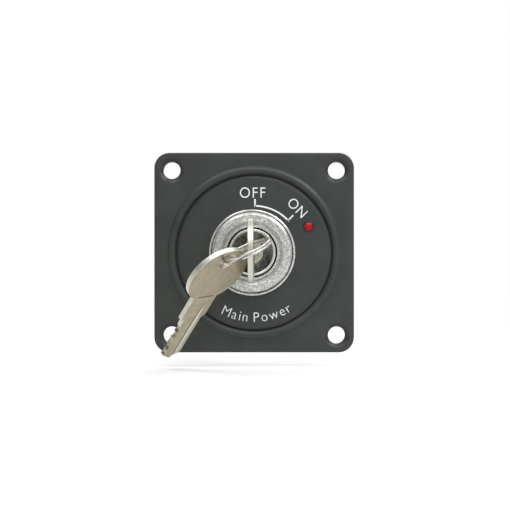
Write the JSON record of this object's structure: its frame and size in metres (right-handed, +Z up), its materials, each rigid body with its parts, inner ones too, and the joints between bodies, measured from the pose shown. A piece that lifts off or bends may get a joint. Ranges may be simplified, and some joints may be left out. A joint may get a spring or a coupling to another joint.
{
  "type": "key-operated battery switch",
  "caption": "Key-operated isolator switch on a square moulded panel with a wafer lock, ring nut, LED indicator, rear terminals and a spare key on a split ring.",
  "frame": {"origin": "centre of the face plate's rear mounting face, on the lock's axis", "axes": "+Z up with the off mark at the top, the front of the panel faces -Y, the lock's axis is Y"},
  "size_m": [0.072, 0.101, 0.0732],
  "materials": {
    "panel_plastic": "fine spark-eroded matte",
    "zinc": "bright plated, slightly mottled",
    "steel": "plated steel",
    "cap_chrome": "mirror chrome",
    "brass": "machined brass",
    "copper": "stamped copper",
    "key_nickel": "worn nickel silver",
    "base_plastic": "moulded phenolic",
    "rotor_plastic": "natural nylon",
    "led_red": "diffused epoxy",
    "black_plastic": "satin nylon",
    "red_insulation": "PVC insulation",
    "black_insulation": "PVC insulation",
    "resistor_body": "lacquered ceramic"
  },
  "bodies": {
    "panel": {"face_plate": "panel_plastic", "bezel_washer": "zinc", "ring_nut": "zinc", "wave_washer": "steel", "lock_housing": "zinc", "detent_spring": "steel", "detent_screw": "steel", "terminal_base": "base_plastic", "base_screws": "steel", "terminal_studs": "brass", "contact_tips": "steel", "stud_lock_nuts": "brass", "terminal_washers": "steel", "terminal_nuts": "brass", "ring_lug": "steel", "led_lens": "led_red", "led_holder": "black_plastic", "led_leads": "steel", "resistor": "resistor_body", "heat_shrink": "black_insulation", "red_wire": "red_insulation", "black_wire": "black_insulation"},
    "plug": {"plug": "brass", "plug_cap": "cap_chrome", "retaining_clip": "steel", "contact_rotor": "rotor_plastic", "contact_spring": "steel", "contact_bridge": "copper", "wafer_springs": "steel"},
    "wafers": {"wafers": "brass"},
    "detent": {"detent_ball": "steel"},
    "key": {"key": "key_nickel"},
    "ring": {"key_ring": "steel"},
    "spare": {"spare_key": "key_nickel"}
  },
  "joints": [
    {"name": "key_turn", "type": "hinge", "parent": "panel", "child": "plug", "pos_m": [-0.0007, 0, 0], "axis": [0, 1, 0], "range_deg": [0, 45]},
    {"name": "key_insert", "type": "slide", "parent": "plug", "child": "key", "axis": [0, -1, 0], "range_m": [0, 0.022]},
    {"name": "wafer_drop", "type": "slide", "parent": "plug", "child": "wafers", "axis": [0, 0, -1], "range_m": [0, 0.0008], "deforming": ["wafer_springs"]},
    {"name": "detent_travel", "type": "slide", "parent": "panel", "child": "detent", "axis": [1, 0, 0], "range_m": [-0.0005, 0], "stiffness_N_per_m": 500, "springref_m": -0.0005, "deforming": ["detent_spring"]},
    {"name": "ring_swing", "type": "hinge", "parent": "key", "child": "ring", "pos_m": [-0.0007, -0.0341, 0], "axis": [1, 0, 0], "range_deg": [-60, 0]},
    {"name": "spare_swing", "type": "hinge", "parent": "ring", "child": "spare", "pos_m": [-0.00854, -0.03951, -0.00329], "axis": [-0.5386, 0.4391, 0.7191], "range_deg": [0, 40]}
  ],
  "couplings": [
    {"joint": "wafer_drop", "follows": "key_insert", "ratio": 0.036}
  ]
}
